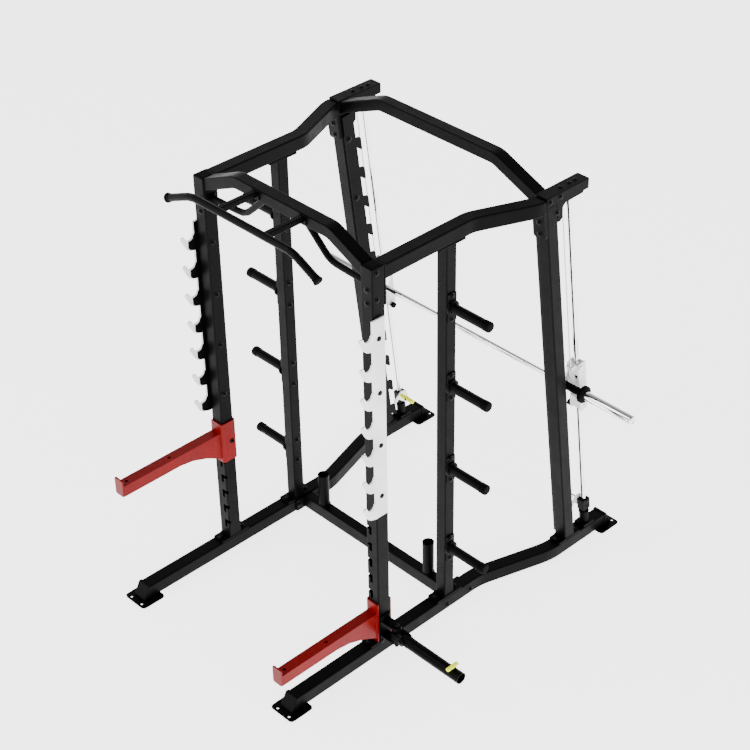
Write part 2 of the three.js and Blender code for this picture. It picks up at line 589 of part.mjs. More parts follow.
place('pull_up_bar', pullUpBar(), BLACK);
for (const [name, side] of SIDES) place(`grip_${name}`, grip(side), BLACK);

// ---------------------------------------------------------------- barbell and its carriages
const CARRIAGE_INNER = 664;            // inner plate's inner face
const CARRIAGE_OUTER = 732;            // outer plate's outer face
const CARRIAGE_PLATE = 7;
const BEARING_R = 26;
const BEARING_S = 108;                 // bearing centres above and below the bar
const SHAFT_R = 15;
const SLEEVE_R = 25;
const BAR_BOSS_R = 20;
const COLLAR_FROM = 768;
const COLLAR_TO = 792;
const CARRIAGE_FRONT = -26;
const CARRIAGE_REAR = 28;

// Two plates, two linear bearings on the rod, the bar's bearing tube and the cable's anchor.
function carriage(side) {
  const plates = [[CARRIAGE_INNER, CARRIAGE_INNER + CARRIAGE_PLATE], [CARRIAGE_OUTER - CARRIAGE_PLATE, CARRIAGE_OUTER]]
    .map(([a, b]) => solid(slabX(rectangle(CARRIAGE_FRONT, CARRIAGE_REAR, BAR_S - 158, BAR_S + 148, 10),
      ...square(side, a, b))));
  const x = side * REAR_X;
  const bearings = [-BEARING_S, BEARING_S].map((ds) =>
    solid(box(...square(side, CARRIAGE_INNER + 2, CARRIAGE_OUTER - 2), -BEARING_R, BEARING_R, BAR_S + ds - 32, BAR_S + ds + 32)));
  const [bossLow, bossHigh] = square(side, CARRIAGE_INNER - 3, COLLAR_FROM - GAP);
  const boss = solid(rod(BAR_BOSS_R, [bossLow, BAR_V, BAR_S], [bossHigh, BAR_V, BAR_S], 20));
  const between = square(side, CARRIAGE_INNER + 2, CARRIAGE_OUTER - 2);
  const saddle = solid(box(...between, BAR_V, -ROD_R - 3, BAR_S - 18, BAR_S + 18));
  const anchor = solid(box(x - 16, x + 16, BAR_V - 9, -20, BAR_S + 122, BAR_S + 140));
  const rodBore = solid(rod(ROD_R + 0.5, [x, 0, BAR_S - 200], [x, 0, BAR_S + 200], 20));
  const barBore = solid(rod(SHAFT_R + 0.5, [side * 600, BAR_V, BAR_S], [side * 800, BAR_V, BAR_S], 20));
  return cut(join(...plates, ...bearings, boss, saddle, anchor), rodBore, barBore);
}

// The barbell: one shaft with a loading sleeve at each end.
function barbell() {
  const half = [[COLLAR_TO, SHAFT_R], [COLLAR_TO, SLEEVE_R], [BAR_HALF - 4, SLEEVE_R], [BAR_HALF, SLEEVE_R - 4],
    [BAR_HALF, 0]];
  const mirrored = half.map(([x, r]) => [-x, r]).reverse();
  return turnedX([...mirrored, ...half], 24);
}

// A collar disc against the inner end of a sleeve.
function barCollar(side) {
  const bore = SHAFT_R + GAP;
  const last = COLLAR_TO - GAP;
  const stations = [[COLLAR_FROM, bore], [COLLAR_FROM, 44], [COLLAR_FROM + 3, 46], [last - 3, 46], [last, 44],
    [last, bore], [COLLAR_FROM, bore]].map(([x, r]) => [side * x, r]);
  return solid(turnedX(side > 0 ? stations : stations.reverse(), 24)).translate([0, BAR_V, BAR_S]);
}

// A hook clamped to the shaft; turning the bar swings it over the catch teeth.
const HOOK_TILT = THREE.MathUtils.degToRad(-34);
function barHook(side) {
  const shape = new THREE.Shape();
  shape.absarc(0, 0, 28, -2.4, 0.7);
  shape.lineTo(10, 100);
  shape.quadraticCurveTo(0, 130, -34, 124);
  shape.lineTo(-55, 116);
  shape.lineTo(-62, 98);
  shape.lineTo(-53, 95);
  shape.lineTo(-47, 104);
  shape.lineTo(-26, 104);
  shape.lineTo(-24, 16);
  const inner = REAR_X - TUBE / 2 - GAP - CATCH_PLATE;
  const [low, high] = square(side, inner, inner + CATCH_PLATE - 1);
  const plate = solid(slabX(shape, low, high).rotateX(HOOK_TILT));
  const bore = solid(rod(SHAFT_R + GAP, [low - 5, 0, 0], [high + 5, 0, 0], 20));
  return geometryOf(cut(plate, bore)).translate(0, BAR_V, BAR_S);
}

place('barbell', barbell(), CHROME, leaning).position.set(0, BAR_V, BAR_S);
for (const [name, side] of SIDES) {
  place(`carriage_${name}`, carriage(side), WHITE, leaning);
  place(`bar_collar_${name}`, barCollar(side), BLACK, leaning);
  place(`bar_hook_${name}`, barHook(side), CHROME, leaning);
}

// ---------------------------------------------------------------- counterweights and cables
const WEIGHT_LENGTH = 380;
const WEIGHT_S = 1240;

// From the carriage's anchor up over both pulleys and down inside the upright to the weight.
function cable(side) {
  const x = side * REAR_X;
  const run = PULLEY_R + CABLE_R;
  const outer = leanPoint(x, CABLE_V, BAR_S + 140 + GAP);
  const outerTop = new THREE.Vector3(x, upY(PULLEY_Z - 60, CABLE_V), PULLEY_Z - 60);
  const innerY = PULLEY_FRONT_Y - run;
  const innerTop = new THREE.Vector3(x, innerY, PULLEY_Z - 60);
  const inner = leanPoint(x, UPRIGHT_V, WEIGHT_S + WEIGHT_LENGTH / 2 + GAP);
  const over = bentRound([outerTop.toArray(), [x, PULLEY_REAR_Y + run, PULLEY_Z + run],
    [x, innerY, PULLEY_Z + run], innerTop.toArray()], CABLE_R, 27, 30);
  const past = (from, to) => to.clone().add(to.clone().sub(from).setLength(0.5));
  return join(solid(over), solid(rod(CABLE_R, outer.toArray(), past(outer, outerTop).toArray(), 12)),
    solid(rod(CABLE_R, inner.toArray(), past(inner, innerTop).toArray(), 12)));
}

for (const [name, side] of SIDES) {
  const x = side * REAR_X;
  const weight = slabZ(centred(x, UPRIGHT_V, 56, 52, 6), WEIGHT_S - WEIGHT_LENGTH / 2, WEIGHT_S + WEIGHT_LENGTH / 2);
  place(`counterweight_${name}`, weight, IRON, leaning);
  place(`cable_${name}`, cable(side), STEEL);
}

// ---------------------------------------------------------------- safety stops
const STOP_S = 228;                    // centre of the stop block, along the rods
const LEVER_S = STOP_S - 30;            // the lever's pivot, along the rods

// A block that slides on the guide rod, carrying the pivot of its lever.
function safetyStop(side) {
  const x = side * REAR_X;
  const block = solid(box(...square(side, 676, 720), -24, 26, STOP_S - 42, STOP_S + 26));
  const pivot = solid(rod(7, [side * 650, 18, LEVER_S], [side * 690, 18, LEVER_S], 16));
  const bore = solid(rod(ROD_R + 0.5, [x, 0, STOP_S - 60], [x, 0, STOP_S + 60], 20));
  return cut(join(block, pivot), bore);
}

// A hooked plate on the pivot with a crosswise pull handle.
function safetyLever(side) {
  const shape = new THREE.Shape();
  shape.absarc(18, LEVER_S, 20, -2.2, 0.4);
  shape.lineTo(22, LEVER_S + 64);
  shape.lineTo(-14, LEVER_S + 74);
  shape.lineTo(-70, LEVER_S + 42);
  shape.lineTo(-72, LEVER_S + 18);
  shape.lineTo(-60, LEVER_S + 16);
  shape.lineTo(-40, LEVER_S + 32);
  const plate = solid(slabX(shape, ...square(side, 664, 671)));
  const bore = solid(rod(7.4, [side * 640, 18, LEVER_S], [side * 700, 18, LEVER_S], 16));
  const handle = solid(rod(11, [side * 566, -18, LEVER_S + 50], [side * 668, -18, LEVER_S + 50], 20));
  return cut(join(plate, handle), bore);
}

for (const [name, side] of SIDES) {
  place(`safety_stop_${name}`, safetyStop(side), BLACK, leaning);
  place(`safety_lever_${name}`, safetyLever(side), side < 0 ? YELLOW : CHROME, leaning);
}

// ---------------------------------------------------------------- spotter arms
const ARM_WIDTH = 60;
const ARM_DEPTH = 62;
const ARM_TOP_RIGHT = 274;
const ARM_STEP = 500;                  // the left arm is stored five slots higher
const BRACKET_ABOVE = 58;
const BRACKET_BELOW = 180;
const BRACKET_PLATE = 8;

// A box beam that deepens towards a channel bracket round the front, inner and rear faces of the upright.
function spotterArm(side, top) {
  const x = side * FRONT_X;
  const faceY = FRONT_Y - TUBE / 2 - GAP;
  const root = faceY - BRACKET_PLATE + 1;
  const outline = new THREE.Shape();
  outline.moveTo(ARM_TIP_Y + 8, top);
  outline.lineTo(ARM_TIP_Y + 8, top - ARM_DEPTH);
  outline.lineTo(root - 265, top - ARM_DEPTH);
  outline.quadraticCurveTo(root - 150, top - ARM_DEPTH - 2, root, top - 158);
  outline.lineTo(root, top);
  const beam = cut(solid(slabX(outline, x - ARM_WIDTH / 2, x + ARM_WIDTH / 2)),
    solid(box(x - ARM_WIDTH / 2 + 5, x + ARM_WIDTH / 2 - 5, ARM_TIP_Y + 30, root - 10, top - ARM_DEPTH + 5, top - 5)),
    ...[ARM_TIP_Y + 48, ARM_TIP_Y + 316].map((y) => solid(rod(9, [x, y, top - 20], [x, y, top + 20], 16))));
  const tip = solid(slabY(rectangle(x - ARM_WIDTH / 2, x + ARM_WIDTH / 2, top - ARM_DEPTH, top + 36, 6), ARM_TIP_Y, ARM_TIP_Y + 9));
  const low = top - BRACKET_BELOW;
  const high = top + BRACKET_ABOVE;
  const inside = side * (FRONT_X - TUBE / 2 - GAP);
  const outside = side * (FRONT_X + TUBE / 2);
  const rearY = FRONT_Y + TUBE / 2 + GAP;
  const t = side * BRACKET_PLATE;
  const channel = polygon([[outside, faceY], [outside, faceY - BRACKET_PLATE], [inside, faceY - BRACKET_PLATE],
    [inside - t, faceY], [inside - t, rearY], [inside, rearY + BRACKET_PLATE], [outside, rearY + BRACKET_PLATE],
    [outside, rearY], [inside, rearY], [inside, faceY]]);
  return join(beam, tip, solid(slabZ(channel, low, high)));
}

place('spotter_arm_left', spotterArm(-1, ARM_TOP_RIGHT + ARM_STEP), RED);
place('spotter_arm_right', spotterArm(1, ARM_TOP_RIGHT), RED);

// ---------------------------------------------------------------- landmine
const PIVOT_X = 748;
const LANDMINE_R = 30;
const LANDMINE_BORE = 26;
const LEVER_X = 1084;

// A block on a vertical pin with two ears for the tube's pivot.
function landmineSwivel() {
  const barrel = solid(rod(24, [SWIVEL_X, FRONT_Y, SWIVEL_Z - 41], [SWIVEL_X, FRONT_Y, SWIVEL_Z + 41], 24));
  const pin = solid(rod(10, [SWIVEL_X, FRONT_Y, SWIVEL_Z - 78], [SWIVEL_X, FRONT_Y, SWIVEL_Z + 66], 20));
  const ears = [-1, 1].map((s) => join(
    solid(box(SWIVEL_X, PIVOT_X, FRONT_Y + s * 27 - 4, FRONT_Y + s * 27 + 4, SWIVEL_Z - 24, SWIVEL_Z + 24)),
    solid(rod(24, [PIVOT_X, FRONT_Y + s * 27 - 4, SWIVEL_Z], [PIVOT_X, FRONT_Y + s * 27 + 4, SWIVEL_Z]))));
  const bridge = solid(box(SWIVEL_X - 6, SWIVEL_X + 22, FRONT_Y - 31, FRONT_Y + 31, SWIVEL_Z - 24, SWIVEL_Z + 24));
  const pivot = solid(rod(9, [PIVOT_X, FRONT_Y - 38, SWIVEL_Z], [PIVOT_X, FRONT_Y + 38, SWIVEL_Z], 20));
  return join(barrel, pin, bridge, ...ears, pivot);
}

// The tube that takes the end of a barbell, with a lug on the pivot and a boss for the clamp lever.
function landmineTube() {
  const start = PIVOT_X + 30;
  const tube = cut(solid(rod(LANDMINE_R, [start, FRONT_Y, SWIVEL_Z], [LANDMINE_END, FRONT_Y, SWIVEL_Z], 24)),
    solid(rod(LANDMINE_BORE, [start + 30, FRONT_Y, SWIVEL_Z], [LANDMINE_END + 5, FRONT_Y, SWIVEL_Z], 24)));
  const lug = join(
    solid(box(PIVOT_X, start + 4, FRONT_Y - 22, FRONT_Y + 22, SWIVEL_Z - 20, SWIVEL_Z + 20)),
    solid(rod(20, [PIVOT_X, FRONT_Y - 22, SWIVEL_Z], [PIVOT_X, FRONT_Y + 22, SWIVEL_Z])));
  const boss = solid(rod(12, [LEVER_X, FRONT_Y, SWIVEL_Z + LANDMINE_BORE + 1], [LEVER_X, FRONT_Y, SWIVEL_Z + LANDMINE_R + 8], 20));
  const thread = solid(rod(5.4, [LEVER_X, FRONT_Y, SWIVEL_Z + 10], [LEVER_X, FRONT_Y, SWIVEL_Z + 60], 16));
  const pivot = solid(rod(9.4, [PIVOT_X, FRONT_Y - 60, SWIVEL_Z], [PIVOT_X, FRONT_Y + 60, SWIVEL_Z], 20));
  return cut(join(tube, lug, boss), thread, pivot);
}

// A clamp screw with a crosswise lever.
function landmineLever() {
  const screw = solid(rod(5, [LEVER_X, FRONT_Y, SWIVEL_Z + LANDMINE_BORE + 1], [LEVER_X, FRONT_Y, SWIVEL_Z + 50], 16));
  const hub = solid(rod(11, [LEVER_X, FRONT_Y, SWIVEL_Z + LANDMINE_R + 9], [LEVER_X, FRONT_Y, SWIVEL_Z + 54], 20));
  const lever = solid(rod(10, [LEVER_X, FRONT_Y - 46, SWIVEL_Z + 52], [LEVER_X, FRONT_Y + 26, SWIVEL_Z + 52], 20));
  return join(screw, hub, lever);
}

place('landmine_swivel', landmineSwivel(), BLACK);
place('landmine_tube', landmineTube(), BLACK);
place('landmine_lever', landmineLever(), YELLOW);

model.position.set(CENTRE_X, CENTRE_Y, 0);
const group = new THREE.Group();
group.add(model);
export default group;
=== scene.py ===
"""Looks of the smith machine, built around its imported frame. Metres, +Z up, -Y front."""
import json
import math

import bmesh
import bpy
from mathutils import Matrix, Vector


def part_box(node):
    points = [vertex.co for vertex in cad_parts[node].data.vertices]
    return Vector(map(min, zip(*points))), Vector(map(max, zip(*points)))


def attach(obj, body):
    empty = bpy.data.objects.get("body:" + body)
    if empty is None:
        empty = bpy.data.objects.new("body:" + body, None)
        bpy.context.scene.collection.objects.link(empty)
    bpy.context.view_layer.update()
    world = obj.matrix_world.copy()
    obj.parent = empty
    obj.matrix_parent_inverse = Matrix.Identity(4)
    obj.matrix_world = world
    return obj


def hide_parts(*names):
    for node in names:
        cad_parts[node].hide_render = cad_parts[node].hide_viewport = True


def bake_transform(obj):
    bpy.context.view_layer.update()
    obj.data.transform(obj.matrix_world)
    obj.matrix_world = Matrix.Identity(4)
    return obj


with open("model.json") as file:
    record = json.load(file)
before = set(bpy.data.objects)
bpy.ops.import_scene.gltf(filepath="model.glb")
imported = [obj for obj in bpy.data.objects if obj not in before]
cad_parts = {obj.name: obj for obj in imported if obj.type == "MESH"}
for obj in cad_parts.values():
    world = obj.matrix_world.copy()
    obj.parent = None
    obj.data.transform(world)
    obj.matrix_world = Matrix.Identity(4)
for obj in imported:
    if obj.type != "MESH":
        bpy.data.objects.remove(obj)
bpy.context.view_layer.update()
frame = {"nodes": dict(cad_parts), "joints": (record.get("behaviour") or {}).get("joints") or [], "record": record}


# ---------------------------------------------------------------- axes and driving positions
def middle(node):
    low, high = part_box(node)
    return (low + high) / 2


MM = 0.001
SIDES = (("left", -1), ("right", 1))
X_AXIS, Y_AXIS, Z_AXIS = Vector((1, 0, 0)), Vector((0, 1, 0)), Vector((0, 0, 1))

FRONT_Y = -472.5                       # centre of the front uprights
MID_Y = -11                            # centre of the middle uprights
FRONT_X = 570                          # their distance from the centre plane
ORIGIN = Vector(((middle("guide_rod_left").x + middle("guide_rod_right").x) / 2,
                 middle("mid_upright_right").y - MID_Y * MM, 0))
STRAIGHT = Matrix.Translation(ORIGIN) @ Matrix.Scale(MM, 4)

SLIDE = next(j for j in frame["joints"] if j["name"] == "carriage_slide")
LEAN = math.atan2(-SLIDE["axis"][1], SLIDE["axis"][2])
ROD = (middle("guide_rod_right") - ORIGIN) / MM
REAR_X = ROD.x
ROD_FOOT_Y = ROD.y + ROD.z * math.tan(LEAN)
# (x, square to the rods, along the rods), measured from where the rods' axes meet the floor.
LEANING = STRAIGHT @ Matrix.Translation((0, ROD_FOOT_Y, 0)) @ Matrix.Rotation(LEAN, 4, "X")


def in_lean(node):
    """The middle of a node in the leaning axes, in millimetres."""
    return LEANING.inverted() @ middle(node)


BAR_V, BAR_S = in_lean("barbell").y, in_lean("barbell").z
UPRIGHT_V = -157.5                     # centre of the rear uprights, square to the rods
TUBE = 75
RAIL_TOP = 81.3
FLANGE_TOP = 89.6
FRAME_TOP = 2245


def up_y(z, v):
    """Y of the point at height z that is v square to the rods."""
    return ROD_FOOT_Y + v / math.cos(LEAN) - z * math.tan(LEAN)


def new_material(name, base, roughness, metallic):
    made = bpy.data.materials.new(name)
    made.use_nodes = True
    shader = made.node_tree.nodes["Principled BSDF"]
    shader.inputs["Base Color"].default_value = (*base, 1)
    shader.inputs["Roughness"].default_value = roughness
    shader.inputs["Metallic"].default_value = metallic
    return made, shader


def noise(made, scale, detail=3.0):
    tree = made.node_tree
    place = tree.nodes.new("ShaderNodeTexCoord")
    texture = tree.nodes.new("ShaderNodeTexNoise")
    texture.inputs["Scale"].default_value = scale
    texture.inputs["Detail"].default_value = detail
    tree.links.new(place.outputs["Object"], texture.inputs["Vector"])
    return texture


def ramp(made, source, low, high):
    tree = made.node_tree
    node = tree.nodes.new("ShaderNodeValToRGB")
    first, last = node.color_ramp.elements
    first.position, last.position = 0.35, 0.65
    first.color, last.color = (*low, 1), (*high, 1)
    tree.links.new(source.outputs["Fac"], node.inputs["Fac"])
    return node


def vary_color(made, shader, base, amount, scale):
    darker = [c * (1 - amount) for c in base]
    lighter = [min(1.0, c * (1 + amount)) for c in base]
    node = ramp(made, noise(made, scale), darker, lighter)
    made.node_tree.links.new(node.outputs["Color"], shader.inputs["Base Color"])


def vary_roughness(made, shader, low, high, scale):
    node = ramp(made, noise(made, scale, 5.0), (low,) * 3, (high,) * 3)
    made.node_tree.links.new(node.outputs["Color"], shader.inputs["Roughness"])


def bumpy(made, shader, scale, strength, depth):
    tree = made.node_tree
    bump = tree.nodes.new("ShaderNodeBump")
    bump.inputs["Strength"].default_value = strength
    bump.inputs["Distance"].default_value = depth
    tree.links.new(noise(made, scale).outputs["Fac"], bump.inputs["Height"])
    tree.links.new(bump.outputs["Normal"], shader.inputs["Normal"])


def painted(name, base, low, high, grain=900, coat=0.0, specular=0.5):
    made, shader = new_material(name, base, (low + high) / 2, 0.0)
    shader.inputs["Coat Weight"].default_value = coat
    shader.inputs["Coat Roughness"].default_value = 0.12
    shader.inputs["Specular IOR Level"].default_value = specular
    vary_color(made, shader, base, 0.12, 5)
    vary_roughness(made, shader, low, high, 14)
    bumpy(made, shader, grain, 0.18, 0.0004)
    return made


def metal(name, base, low, high, grain=60, strength=0.03):
    made, shader = new_material(name, base, low, 1.0)
    vary_color(made, shader, base, 0.03, 8)
    vary_roughness(made, shader, low, high, 25)
    bumpy(made, shader, grain, strength, 0.0003)
    return made


BLACK = painted("black_powder_coat", (0.0009, 0.0009, 0.0010), 0.38, 0.48, specular=0.04)
WHITE = painted("white_powder_coat", (0.80, 0.80, 0.80), 0.30, 0.40, coat=0.1)
RED = painted("red_powder_coat", (0.15, 0.001, 0.0015), 0.28, 0.38, specular=0.10)
YELLOW = painted("yellow_vinyl", (0.86, 0.93, 0.015), 0.40, 0.52, grain=500, specular=0.1)
RUBBER = painted("black_rubber", (0.001, 0.001, 0.001), 0.62, 0.76, grain=600, specular=0.04)
ZINC_BLACK = painted("black_zinc", (0.0008, 0.0008, 0.0009), 0.3, 0.4, grain=300,
                     specular=0.09)
CHROME = metal("polished_chrome", (0.90, 0.91, 0.93), 0.05, 0.10)
STEEL = metal("bright_steel", (0.62, 0.63, 0.65), 0.22, 0.32, grain=400, strength=0.08)
IRON = metal("raw_cast_iron", (0.09, 0.09, 0.095), 0.55, 0.70, grain=700, strength=0.3)

NODE_FINISH = {
    "black_paint": BLACK, "white_paint": WHITE, "chrome": CHROME, "steel": STEEL,
    "red_paint": RED, "yellow_grip": YELLOW, "cast_iron": IRON,
}


# ---------------------------------------------------------------- mesh building
def smooth(piece, angle=40):
    piece.data.shade_smooth()
    if piece.data.attributes.get("sharp_edge") is None:
        piece.data.attributes.new("sharp_edge", "BOOLEAN", "EDGE")
    mesh = bmesh.new()
    mesh.from_mesh(piece.data)
    flags = [len(e.link_faces) != 2 or e.calc_face_angle(0) > math.radians(angle) for e in mesh.edges]
    mesh.free()
    for edge, flag in zip(piece.data.edges, flags):
        edge.use_edge_sharp = flag


def round_edges(piece, width, angle=40):
    bevel = piece.modifiers.new("edges", "BEVEL")
    bevel.width = width * MM
    bevel.segments = 2
    bevel.limit_method = "ANGLE"
    bevel.angle_limit = math.radians(angle)
    bevel.harden_normals = True


class Shape:
    """Turned, extruded and swept solids gathered into one mesh, in millimetres of one set of axes."""

    def __init__(self, axes=STRAIGHT):
        self.mesh = bmesh.new()
        self.axes = axes

    def loft(self, rings, closed=False):
        """Skins rings of equal length. The ends are capped unless the skin closes on itself."""
        made = [[self.mesh.verts.new(point) for point in ring] for ring in rings]
        pairs = list(zip(made, made[1:]))
        if closed:
            pairs.append((made[-1], made[0]))
        else:
            self.mesh.faces.new(made[0][::-1])
            self.mesh.faces.new(made[-1])
        count = len(made[0])
        for near, far in pairs:
            for k in range(count):
                after = (k + 1) % count
                self.mesh.faces.new((near[k], near[after], far[after], far[k]))

    def turned(self, foot, axis, stations, sides=24, closed=False):
        """A solid of revolution from (distance along the axis, radius) stations."""
        axis = Vector(axis).normalized()
        across = axis.orthogonal().normalized()
        over = axis.cross(across)
        turns = [2 * math.pi * k / sides for k in range(sides)]
        spokes = [across * math.cos(t) + over * math.sin(t) for t in turns]
        self.loft([[Vector(foot) + axis * along + spoke * radius for spoke in spokes]
                   for along, radius in stations], closed)

    def ring(self, foot, axis, inner, outer, length, chamfer=1.0, sides=32):
        self.turned(foot, axis,
                    [(0, inner), (0, outer - chamfer), (chamfer, outer), (length - chamfer, outer),
                     (length, outer - chamfer), (length, inner)], sides, closed=True)

    def bolt(self, foot, axis, radius=9.0, nut=False):
        """A chamfered hex head on a washer; a nut also shows the end of its thread."""
        washer, head = 2.0, 0.75 * radius
        self.turned(foot, axis,
                    [(-0.5, 1.55 * radius), (washer - 0.6, 1.55 * radius), (washer, 1.45 * radius)])
        self.turned(foot, axis, [(washer, 0.98 * radius), (washer + 0.75 * head, radius),
                                 (washer + head, 0.84 * radius)], 6)
        if nut:
            tip = washer + head
            thread = 0.5 * radius
            self.turned(foot, axis, [(tip - 1, thread), (tip + 3, thread), (tip + 4, 0.8 * thread)], 16)

    def button(self, foot, axis, radius=10.0):
        """A domed screw head with a hexagonal socket."""
        dome = [(-0.5, radius), (1.2, radius), (0.35 * radius, 0.86 * radius), (0.5 * radius, 0.6 * radius)]
        self.turned(foot, axis, dome)
        self.turned(foot, axis, [(0.5 * radius - 0.5, 0.5 * radius), (0.5 * radius + 0.6, 0.5 * radius),
                                 (0.5 * radius + 0.6, 0.3 * radius), (0.5 * radius - 0.5, 0.3 * radius)],
                    6, closed=True)

    def slab(self, outline, low, high, along="X"):
        """An outline extruded along X or Z; its own axes are the other two, in order."""
        order = {"X": lambda a, b, c: (c, a, b), "Z": lambda a, b, c: (a, b, c)}
        self.loft([[Vector(order[along](a, b, c)) for a, b in outline] for c in (low, high)])

    def sweep(self, path, radii, reference, sides=12, closed=False):
        """A round section along a flat path; the reference is square to the path's plane."""
        path = [Vector(point) for point in path]
        last = len(path) - 1
        rings = []
        for i, point in enumerate(path):
            before = path[i - 1] if closed or i > 0 else path[0]
            after = path[(i + 1) % len(path)] if closed or i < last else path[last]
            over = reference.cross((after - before).normalized())
            radius = radii[i % len(radii)]
            rings.append([point + (reference * math.cos(t) + over * math.sin(t)) * radius
                          for t in (2 * math.pi * k / sides for k in range(sides))])
        self.loft(rings, closed)

    def weld(self, corners, reference, size=3.2, pitch=5.0):
        """A rippled fillet weld round a closed flat path."""
        path = []
        for start, end in zip(corners, corners[1:] + corners[:1]):
            start, end = Vector(start), Vector(end)
            count = max(1, round((end - start).length / pitch))
            path += [start.lerp(end, k / count) for k in range(count)]
        self.sweep(path, (size, 0.78 * size), reference, 8, closed=True)

    def finish(self, name, material, body="frame", edge=0.5, replaces=()):
        bmesh.ops.transform(self.mesh, matrix=self.axes, verts=self.mesh.verts)
        bmesh.ops.recalc_face_normals(self.mesh, faces=self.mesh.faces)
        data = bpy.data.meshes.new(name)
        self.mesh.to_mesh(data)
        self.mesh.free()
        data.materials.append(material)
        piece = bpy.data.objects.new(name, data)
        bpy.context.scene.collection.objects.link(piece)
        smooth(piece)
        if edge:
            round_edges(piece, edge)
        if body:
            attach(piece, body)
        if replaces:
            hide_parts(*replaces)
        return piece


def curve(start, control, end, steps=5):
    """Points of a quadratic curve after its start."""
    points = []
    for k in range(1, steps + 1):
        t = k / steps
        points.append(tuple((1 - t) ** 2 * s + 2 * t * (1 - t) * c + t * t * e
                            for s, c, e in zip(start, control, end)))
    return points


def rectangle(x0, x1, y0, y1, corner):
    """A rectangle with rounded corners."""
    outline = []
    for x, y, dx, dy in ((x1, y0, -1, 1), (x1, y1, -1, -1), (x0, y1, 1, -1), (x0, y0, 1, 1)):
        on_side_x, on_side_y = (x + dx * corner, y), (x, y + dy * corner)
        first, final = (on_side_x, on_side_y) if dx * dy < 0 else (on_side_y, on_side_x)
        outline.append(first)
        outline += curve(first, (x, y), final, 4)
    return outline


def finish_cad_nodes():
    slots = {s["node"]: s["material_slot"] for s in frame["record"]["subparts"]}
    for name, piece in frame["nodes"].items():
        piece.data.materials.clear()
        piece.data.materials.append(NODE_FINISH[slots[name]])
        smooth(piece)
        round_edges(piece, 1.2)


finish_cad_nodes()


# ---------------------------------------------------------------- front uprights and hook plates
HOOK_FRONT, HOOK_FIRST, HOOK_PITCH, HOOK_COUNT = -527, 955, 158, 7
PLATE_FACE = 620.8                     # outer face of the hook plates
PLATE_BOLT_TOP, PLATE_BOLT_PITCH = 1893, 294.5


def hook_backing(name, side):
    """The black plate's own short hooks, which stiffen the roots of the white ones."""
    shape = Shape()
    for i in range(HOOK_COUNT):
        cup = HOOK_FIRST + i * HOOK_PITCH
        front = HOOK_FRONT
        outline = [(front + 5, cup - 61), (front - 20, cup - 55)]
        outline += curve(outline[-1], (front - 34, cup - 50), (front - 38, cup - 38))
        outline += [(front - 38, cup - 3), (front - 30, cup - 3)]
        outline += curve(outline[-1], (front - 13, cup - 3), (front - 7, cup + 14))
        outline += curve(outline[-1], (front - 5, cup + 24), (front + 2, cup + 26))
        outline += [(front + 5, cup + 26)]
        shape.slab(outline, *sorted((side * 607.9, side * 611.3)))
    shape.finish(f"hook_backing_{name}", BLACK)


def rack_bolts(name, side):
    shape = Shape()
    out = X_AXIS * side
    for i in range(4):
        z = PLATE_BOLT_TOP - i * PLATE_BOLT_PITCH
        shape.button((side * PLATE_FACE, FRONT_Y - 15.5, z), out, 13)
        shape.bolt((side * (FRONT_X - TUBE / 2), FRONT_Y - 4, z), -out, 8.5, nut=True)
    for z in (2221, 2084):
        shape.bolt((side * (FRONT_X + TUBE / 2), FRONT_Y - 8, z), out, 9)
    for z in (2132, 2062):
        shape.bolt((side * FRONT_X, FRONT_Y - TUBE / 2, z), -Y_AXIS, 9)
    shape.finish(f"rack_bolts_{name}", ZINC_BLACK)


# ---------------------------------------------------------------- middle uprights and plate pegs
PEG_HEIGHTS = (402, 900, 1390, 1833)
PEG_END = 846


def peg_details(name, side):
    bolts = Shape()
    caps = Shape()
    welds = Shape()
    out = X_AXIS * side
    for z in PEG_HEIGHTS:
        for dz in (-66, 66):
            bolts.bolt((side * (FRONT_X + 38.3), MID_Y, z + dz), out, 9)
            bolts.bolt((side * (FRONT_X - 32), MID_Y, z + dz), -out, 9, nut=True)
        caps.turned((side * (PEG_END - 34), MID_Y, z), out,
                    [(0, 25.1), (1.5, 26.4), (31, 26.4), (35, 25.0), (37, 21.5), (37.6, 12)], 32)
        welds.ring((side * (FRONT_X + 48), MID_Y, z), out, 24, 29, 5.5, 2.4)
    bolts.finish(f"peg_bolts_{name}", ZINC_BLACK)
    caps.finish(f"peg_caps_{name}", RUBBER)
    welds.finish(f"peg_welds_{name}", BLACK, edge=0.8)


# ---------------------------------------------------------------- base
HOLDER_X, HOLDER_Y = 398, 42           # centres of the bar-holder tubes
RAIL_INNER = FRONT_X - TUBE / 2         # inner face of the straight part of a rail


def tube_foot(x, y, z, width, depth):
    """Corners of a tube's outline where it meets a plate."""
    return [(x + a * width / 2, y + b * depth / 2, z) for a, b in ((-1, -1), (1, -1), (1, 1), (-1, 1))]


